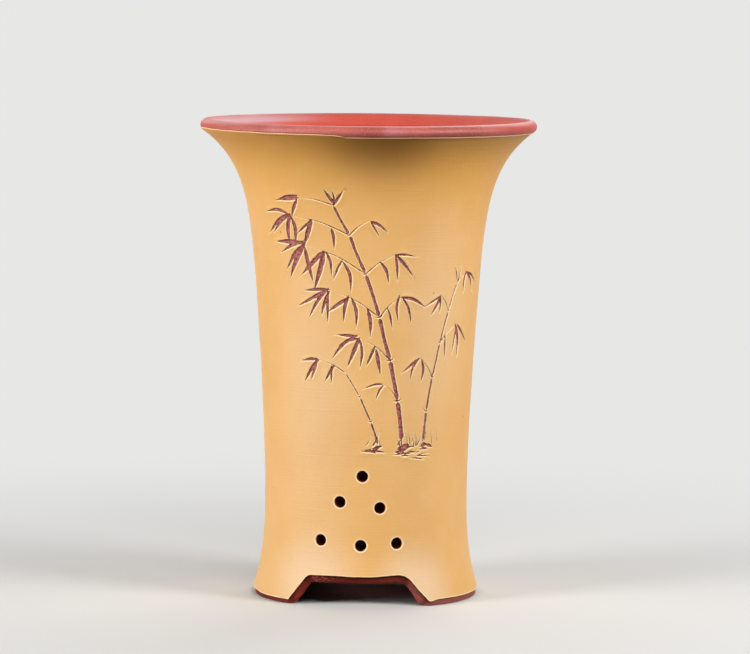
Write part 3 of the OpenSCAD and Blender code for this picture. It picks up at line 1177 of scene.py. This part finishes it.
def lip_clay():
    """Red inside, with a painted pale sheen on the left, and pink on the crest and outside, painted
    redder and darker at its left and right as shade.
    """
    n = Finish("lip_clay")
    grain = n.noise(*CLAY_GRAIN)
    reach = n.distance((0, 0, 0), (1, 1, 0))
    bloom = n.map(n.noise(41, 2, 0.5, (1, 1, 0.4)), 0.52, 0.68, 0, 0.40)
    pink = n.mix(bloom, clay_colour(n, grain, *PINK), srgb(206, 138, 142))
    # Painted shade: redder and darker at the lip's left and right, as the camera sees it
    far = n.map(n.maths("ABSOLUTE", n.along("X")), 0.052, 0.073)
    pink = n.mix(far, pink, srgb(180, 64, 48))
    # Painted sheen on the lip's inside, at the left
    lightened = n.map(n.distance(LIP_PAINTED_SHEEN), 0.030, 0.072, 1, 0)
    lightened = n.maths("MULTIPLY", lightened, n.map(reach, 0.0655, 0.0675))
    red = n.mix(lightened, clay_colour(n, grain, *BRIGHT), srgb(202, 152, 158))
    colour = n.mix(n.map(reach, 0.0680, 0.0722), red, pink)
    # Burnished on the crest, and rougher on both sides, above all inside
    sides = n.maths("ADD", n.map(reach, 0.0702, 0.0726, 0.22, 0), n.map(reach, 0.0728, 0.0742, 0, 0.05))
    roughness = n.maths("ADD", n.map(grain, 0.3, 0.8, 0.36, 0.50), sides)
    return n.surface(colour, roughness, 0.42, [(grain, 0.00004), (n.noise(240, 4), 0.00008)])


def ochre_coat():
    """Slip that fires gold, with painted sheen in pale patches on both sides and painted shade that
    deepens the gold up the flare. The cuts bare clay.
    """
    n = Finish("ochre_coat")
    mottle = n.noise(95, 4, 0.6)
    grain = n.noise(1700, 2, 0.7)
    height = n.along("Z")
    clouds = n.map(n.noise(14, 3, 0.6), 0.3, 0.7)
    colour = n.mix(clouds, srgb(238, 187, 121), srgb(234, 179, 108))
    colour = n.mix(n.map(mottle, 0.4, 0.75, 0, 0.30), colour, srgb(240, 194, 134))
    # Painted shade: deeper gold up the flare, darker at its top under the lip, and a little duller at
    # the foot
    colour = n.mix(n.map(height, 0.150, 0.209), colour, (1.0, 0.89, 0.56, 1), "MULTIPLY")
    colour = n.mix(n.map(height, 0.190, 0.209), colour, (0.93, 0.90, 0.84, 1), "MULTIPLY")
    colour = n.mix(n.map(height, 0.0, 0.045, 1, 0), colour, (0.93, 0.94, 0.95, 1), "MULTIPLY")
    # Painted sheen and painted shade, in patches
    for middle, squeeze, reach, share, tone in PAINTED_LIGHT_PATCHES:
        gap = n.distance(middle, (1, 1, squeeze))
        colour = n.mix(n.map(gap, 0.004, reach, share, 0), colour, tone)
    colour = n.mix(n.map(grain, 0.5, 0.8, 0, 0.25), colour, srgb(214, 156, 90))
    colour = n.specks(colour, srgb(140, 88, 46), 0.75, 340, (0.06, 0.19), (0.915, 0.93))
    # Painted highlight along the coat's edges, and painted shade down the sides of those edges
    rim = n.mark("rim")
    colour = n.mix(n.map(rim, 0.34, 0.66, 0.92, 0), colour, PAINTED_HIGHLIGHT)
    colour = n.mix(n.map(rim, -0.75, -0.2, 1, 0), colour, srgb(92, 38, 28))
    # The cuts: a slope painted pale as a highlight, then bared clay with streaks along it, painted dark
    # as shade near its edges and in narrow cuts
    waver = n.maths("MULTIPLY", n.maths("SUBTRACT", n.noise(1300, 4, 0.8), 0.5), 0.60)
    slope = n.maths("ADD", n.mark("slope"), waver)
    clay = n.maths("ADD", n.mark("clay"), waver)
    streak = n.map(n.noise(1000, 4, 0.75), 0.38, 0.66)
    bared = n.mix(streak, srgb(132, 60, 54), srgb(202, 128, 122))
    # Painted shade: dark near a cut's edges and in narrow cuts
    bared = n.mix(n.map(clay, 0.12, 0.42), srgb(84, 32, 24), bared)
    colour = n.mix(n.map(slope, -0.12, 0.02, 0, 0.85), colour, PAINTED_HIGHLIGHT)
    colour = n.mix(n.map(clay, 0.0, 0.08), colour, bared)
    roughness = n.maths("ADD", n.map(grain, 0.3, 0.8, 0.46, 0.58), n.map(clay, 0.0, 0.08, 0, 0.15))
    lines = n.noise(330, 3, 0.6, (0.10, 0.10, 5))
    return n.surface(colour, roughness, 0.22, [(grain, 0.00006), (mottle, 0.00012), (lines, 0.00009)])


def build_pot():
    red, lip, ochre = red_clay(), lip_clay(), ochre_coat()
    carve()
    build_coat(ochre)
    build_wall(red)
    build_foot("right_foot", red, FRONT_R, BACK_L, 0)
    build_foot("left_foot", red, BACK_R, FRONT_L + np.array([2 * HALF_TURN, 0]), HALF_TURN)
    build_lip(lip)
    build_floor(red)
    build_coil(red)


# Stage, light and camera

BACKGROUND = (0.80, 0.80, 0.79, 1)
# The ground as the light meets it, and as it is seen
GROUND_LIT = (0.04, 0.04, 0.04, 1)
GROUND_SEEN = (0.70, 0.70, 0.69, 1)
GROUND_RINGS = (0.4, 0.8, 1.6, 3.2, 7.0, 16.0)
DAYLIGHT = (1.0, 0.99, 0.97)
WHITE = (1.0, 1.0, 1.0)
# Each lamp: azimuth from the camera's side, height, distance, size, power, colour, and the
# height on the pot's axis that it is aimed at
LAMPS = {
    "lamp_left_low": (-75, 0.12, 1.4, (0.6, 0.2), 4.9, DAYLIGHT, 0.11),
    "lamp_left": (-58, 0.25, 1.4, (0.5, 0.4), 5.9, DAYLIGHT, 0.11),
    "lamp_left_high": (-58, 0.75, 1.4, (0.5, 0.4), 10.0, DAYLIGHT, 0.11),
    "lamp_right": (58, 0.75, 1.4, (0.5, 0.4), 15.0, DAYLIGHT, 0.11),
    "lamp_right_side": (78, 0.45, 1.4, (0.6, 0.4), 4.2, DAYLIGHT, 0.11),
    "lamp_top": (15, 1.10, 1.3, (0.9, 0.5), 7.6, WHITE, 0.11),
    "lamp_back_left": (-150, 0.85, 1.3, (0.8, 0.8), 3.6, WHITE, 0.20),
    "lamp_back_right": (158, 1.00, 1.1, (1.0, 0.8), 7.8, WHITE, 0.20)
}
# The camera's place and turn, and its focal length in pixels of a frame this wide
CAMERA_DISTANCE = 1.80835
CAMERA_H = 0.28136
TILT, YAW, ROLL = 0.08929, 0.00192, 0.0074
FOCAL_PX = 4058.85
FRAME_PX = 750
SENSOR_MM = 36


def from_camera_side(x, y, z):
    """A place seen from the camera's side, in the pot's frame."""
    c, s = cos(CAMERA_AZ), sin(CAMERA_AZ)
    return Vector((c * x - s * y, s * x + c * y, z))


def build_ground():
    """A pale floor that keeps the pot's shadow and runs out into the backdrop. It is darker to
    the light that it passes on to the pot."""
    sides = 96
    verts = [(0, 0, 0)]
    for r in GROUND_RINGS:
        for i in range(sides):
            a = 2 * pi * i / sides
            verts.append((r * cos(a), r * sin(a), 0))
    faces = []
    for i in range(sides):
        j = (i + 1) % sides
        faces.append((0, 1 + i, 1 + j))
        for first in range(1, 1 + (len(GROUND_RINGS) - 1) * sides, sides):
            faces.append((first + i, first + sides + i, first + sides + j, first + j))
    mesh = bpy.data.meshes.new("ground")
    mesh.from_pydata(verts, [], faces)
    n = Finish("ground")
    seen = n.seen()
    n.fill(n.shader, Base_Color=n.mix(seen, GROUND_LIT, GROUND_SEEN), Roughness=0.8)
    n.shader.inputs["Specular IOR Level"].default_value = 0.1
    glow = n.add("Emission", Color=BACKGROUND)
    far = n.maths("MULTIPLY", n.map(n.distance((0, 0, 0)), 0.10, 0.55), seen)
    n.show("Material Output", far, n.shader, glow)
    mesh.materials.append(n.material)
    ground = add_object("ground", mesh)


def build_world():
    """A faint even light on the pot, and a pale background behind it."""
    world = bpy.data.worlds.new("studio")
    bpy.context.scene.world = world
    n = Nodes(world)
    light = n.fill(n.tree.nodes["Background"], Color=(0.62, 0.60, 0.58, 1), Strength=0.03)
    backdrop = n.add("Background", Color=BACKGROUND)
    n.show("World Output", n.seen(), light, backdrop)


def lamp(name, az, height, distance, size, power, colour, aim):
    """A soft rectangular lamp, aimed at the pot."""
    data = bpy.data.lights.new(name, "AREA")
    data.shape = "RECTANGLE"
    data.size, data.size_y = size
    data.energy = power
    data.color = colour
    obj = add_object(name, data)
    a = radians(az)
    obj.location = from_camera_side(distance * sin(a), -distance * cos(a), height)
    obj.rotation_euler = (Vector((0, 0, aim)) - obj.location).to_track_quat("-Z", "Y").to_euler()


def build_camera():
    level = cos(TILT)
    ahead = Vector((sin(YAW) * level, cos(YAW) * level, -sin(TILT)))
    right = Vector((cos(YAW), -sin(YAW), 0))
    up = right.cross(ahead)
    across = right * cos(ROLL) + up * sin(ROLL)
    upward = up * cos(ROLL) - right * sin(ROLL)
    data = bpy.data.cameras.new("camera")
    data.sensor_fit = "HORIZONTAL"
    data.sensor_width = SENSOR_MM
    data.lens = FOCAL_PX / FRAME_PX * SENSOR_MM
    camera = add_object("camera", data)
    turn = Matrix([from_camera_side(*way) for way in (across, upward, -ahead)]).transposed().to_4x4()
    turn.translation = from_camera_side(0, -CAMERA_DISTANCE, CAMERA_H)
    camera.matrix_world = turn
    bpy.context.scene.camera = camera


build_pot()
build_ground()
build_world()
for lamp_name, values in LAMPS.items():
    lamp(lamp_name, *values)
build_camera()
bpy.context.scene.view_settings.view_transform = "Standard"
